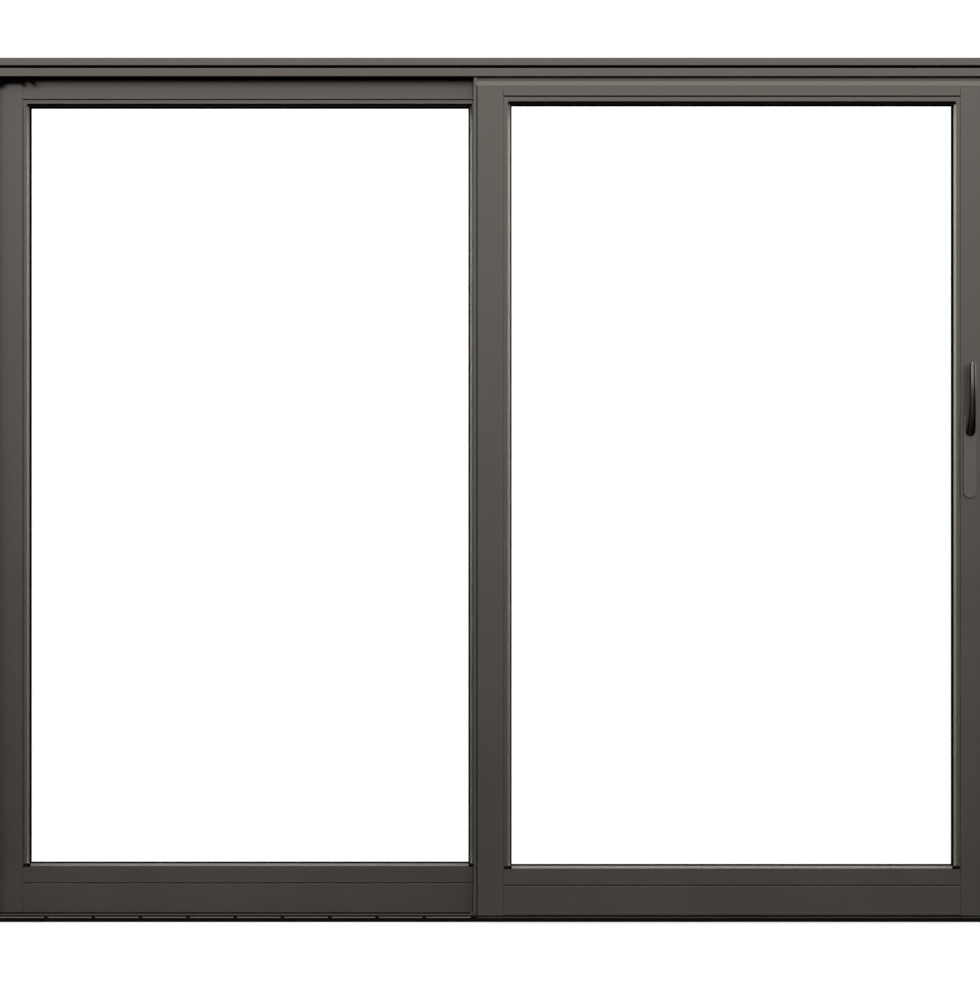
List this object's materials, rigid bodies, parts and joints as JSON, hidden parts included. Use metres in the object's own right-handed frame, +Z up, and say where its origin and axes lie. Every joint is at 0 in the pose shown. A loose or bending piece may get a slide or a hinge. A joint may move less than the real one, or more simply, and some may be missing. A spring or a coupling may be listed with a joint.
{
  "type": "glass sliding patio door",
  "caption": "Wide glazed patio door in slim bronze metal framing: a fixed panel on the left and a panel on rollers at the right that slides in front of it, with a tall lever handle.",
  "frame": {"origin": "middle of the sill's underside", "axes": "+X to the right seen from the room, +Y outwards through the wall, +Z up"},
  "size_m": [2.419, 0.1701, 2.019],
  "materials": {
    "bronze_frame": "satin dark bronze-grey paint on extruded aluminium",
    "black_plastic": "matt black plastic",
    "black_rubber": "black gasket rubber",
    "clear_glass": "clear insulating glass",
    "steel": "brushed stainless steel",
    "spacer_bar": "dark anodised spacer bar"
  },
  "bodies": {
    "frame": {"drain_cover": "bronze_frame", "fixed_bottom_bead": "bronze_frame", "fixed_bottom_rail": "bronze_frame", "fixed_gasket": "black_rubber", "fixed_glass": "clear_glass", "fixed_glass_spacer": "spacer_bar", "fixed_head_filler": "black_plastic", "fixed_interlock": "bronze_frame", "fixed_meeting_stile": "bronze_frame", "fixed_outer_stile": "bronze_frame", "fixed_setting_blocks": "black_plastic", "fixed_side_beads": "bronze_frame", "fixed_top_bead": "bronze_frame", "fixed_top_rail": "bronze_frame", "head": "bronze_frame", "head_fascia": "bronze_frame", "head_stop": "black_plastic", "left_jamb": "bronze_frame", "left_jamb_fascia": "bronze_frame", "lock_keeper": "steel", "right_jamb": "bronze_frame", "right_jamb_fascia": "bronze_frame", "roller_track": "bronze_frame", "sill": "bronze_frame", "sill_base_strip": "black_plastic", "sill_plug": "black_plastic"},
    "sliding_panel": {"handle_plate": "bronze_frame", "lock_faceplate": "steel", "lock_stile": "bronze_frame", "roller_housings": "steel", "roller_wheels": "steel", "sliding_bottom_bead": "bronze_frame", "sliding_bottom_rail": "bronze_frame", "sliding_gasket": "black_rubber", "sliding_glass": "clear_glass", "sliding_glass_spacer": "spacer_bar", "sliding_interlock": "bronze_frame", "sliding_meeting_stile": "bronze_frame", "sliding_setting_blocks": "black_plastic", "sliding_side_beads": "bronze_frame", "sliding_top_bead": "bronze_frame", "sliding_top_rail": "bronze_frame", "top_guide": "bronze_frame"},
    "handle_lever_body": {"handle_lever": "bronze_frame"}
  },
  "joints": [
    {"name": "panel_slide", "type": "slide", "parent": "frame", "child": "sliding_panel", "axis": [-1, 0, 0], "range_m": [0, 1.018]},
    {"name": "lever_turn", "type": "hinge", "parent": "sliding_panel", "child": "handle_lever_body", "pos_m": [1.1222, -0.0553, 1.1447], "axis": [0, -1, 0], "range_deg": [0, 180]}
  ]
}
